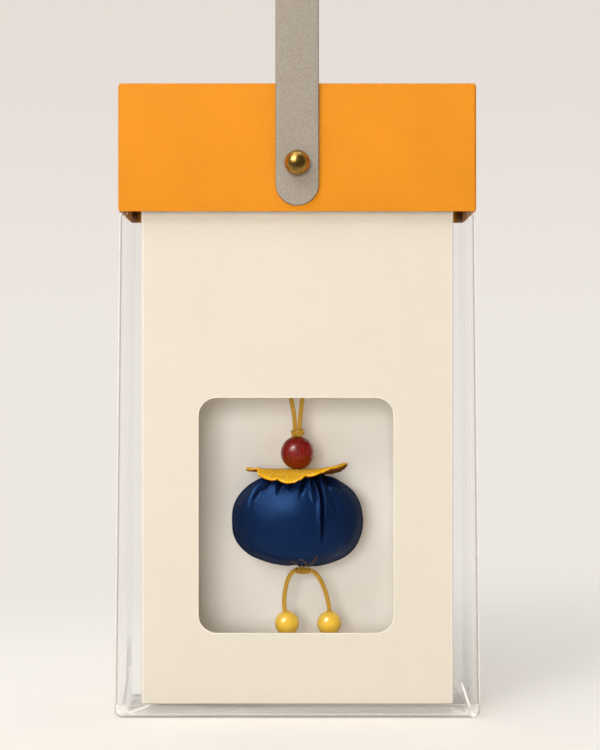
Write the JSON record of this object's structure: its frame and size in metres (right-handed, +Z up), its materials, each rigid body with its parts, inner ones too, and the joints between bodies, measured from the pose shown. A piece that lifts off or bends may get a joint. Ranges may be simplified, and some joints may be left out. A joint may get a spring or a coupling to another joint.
{
  "type": "blessing sachet",
  "caption": "Stuffed satin sachet on a beaded gold cord, hung on a peg in a windowed card box under a strapped card lid, inside a clear film pouch.",
  "frame": {"origin": "centre of the pouch's foot, on the surface that the pack stands on", "axes": "+Z up, +X to the right as the front is seen, +Y to the rear, the window faces -Y"},
  "size_m": [0.1278, 0.0632, 0.2881],
  "materials": {
    "clear_film": "clear soft vinyl film, 0.5 mm, high gloss",
    "orange_card": "fine-grained matt coated card",
    "foam_tape": "double-sided foam tape",
    "cream_card": "uncoated cream card",
    "white_card": "uncoated off-white card",
    "peg_plastic": "moulded white plastic",
    "aged_brass": "polished and darkened with age",
    "screw_steel": "plated steel",
    "fibre_washer": "pressed fibre",
    "grey_leather": "pebbled, with painted edges",
    "gold_cord": "braided metallic thread",
    "red_wood": "stained and polished wood",
    "yellow_felt": "pressed felt with stitched flecks",
    "blue_satin": "satin twill",
    "dried_herbs": "loose dried herbs",
    "amber_resin": "polished resin"
  },
  "bodies": {
    "pouch": {"pouch_front_panel": "clear_film", "pouch_back_panel": "clear_film", "pouch_gusset": "clear_film"},
    "header": {"header_lid": "orange_card", "mounting_tape": "foam_tape", "window_card": "cream_card", "backing_card": "white_card", "hanger_peg": "peg_plastic", "peg_washer": "peg_plastic", "front_stud": "aged_brass", "front_stud_screw": "screw_steel", "front_stud_washer": "fibre_washer", "rear_stud": "aged_brass", "rear_stud_screw": "screw_steel", "rear_stud_washer": "fibre_washer"},
    "strap": {"strap": "grey_leather"},
    "sachet": {"hanging_loop": "gold_cord", "top_knot": "gold_cord", "core_strand_left": "gold_cord", "core_strand_right": "gold_cord", "felt_collar": "yellow_felt", "neck_thread": "gold_cord", "sachet_cover": "blue_satin", "herb_filling": "dried_herbs", "bottom_knot": "gold_cord"},
    "red_bead": {"red_bead": "red_wood"},
    "left_leg": {"left_leg_cord": "gold_cord", "left_end_knot": "gold_cord"},
    "left_bead": {"left_bead": "amber_resin"},
    "right_leg": {"right_leg_cord": "gold_cord", "right_end_knot": "gold_cord"},
    "right_bead": {"right_bead": "amber_resin"}
  },
  "joints": [
    {"name": "header_lift", "type": "slide", "parent": "pouch", "child": "header", "axis": [0, 0, 1], "range_m": [0, 0.215]},
    {"name": "strap_swing", "type": "hinge", "parent": "header", "child": "strap", "pos_m": [0, 0, 0.1923], "axis": [0, 1, 0], "range_deg": [-115, 115]},
    {"name": "sachet_swing", "type": "hinge", "parent": "header", "child": "sachet", "pos_m": [0, 0, 0.1597], "axis": [0, 1, 0], "range_deg": [-14, 14]},
    {"name": "red_bead_spin", "type": "hinge", "parent": "sachet", "child": "red_bead", "pos_m": [0, 0, 0.0913], "axis": [0, 0, 1], "continuous": true},
    {"name": "left_leg_swing", "type": "hinge", "parent": "sachet", "child": "left_leg", "pos_m": [0.002, 0, 0.0489], "axis": [0, 1, 0], "range_deg": [-7, 15], "stiffness_Nm_per_rad": 0.001, "springref_deg": 1.72},
    {"name": "left_bead_spin", "type": "hinge", "parent": "left_leg", "child": "left_bead", "pos_m": [-0.00372, 0, 0.03], "axis": [-0.1521, 0, 0.9884], "continuous": true},
    {"name": "right_leg_swing", "type": "hinge", "parent": "sachet", "child": "right_leg", "pos_m": [0.002, 0, 0.0489], "axis": [0, 1, 0], "range_deg": [-15, 7], "stiffness_Nm_per_rad": 0.001, "springref_deg": -2.86},
    {"name": "right_bead_spin", "type": "hinge", "parent": "right_leg", "child": "right_bead", "pos_m": [0.01145, 0, 0.03], "axis": [0, 0, 1], "continuous": true}
  ]
}
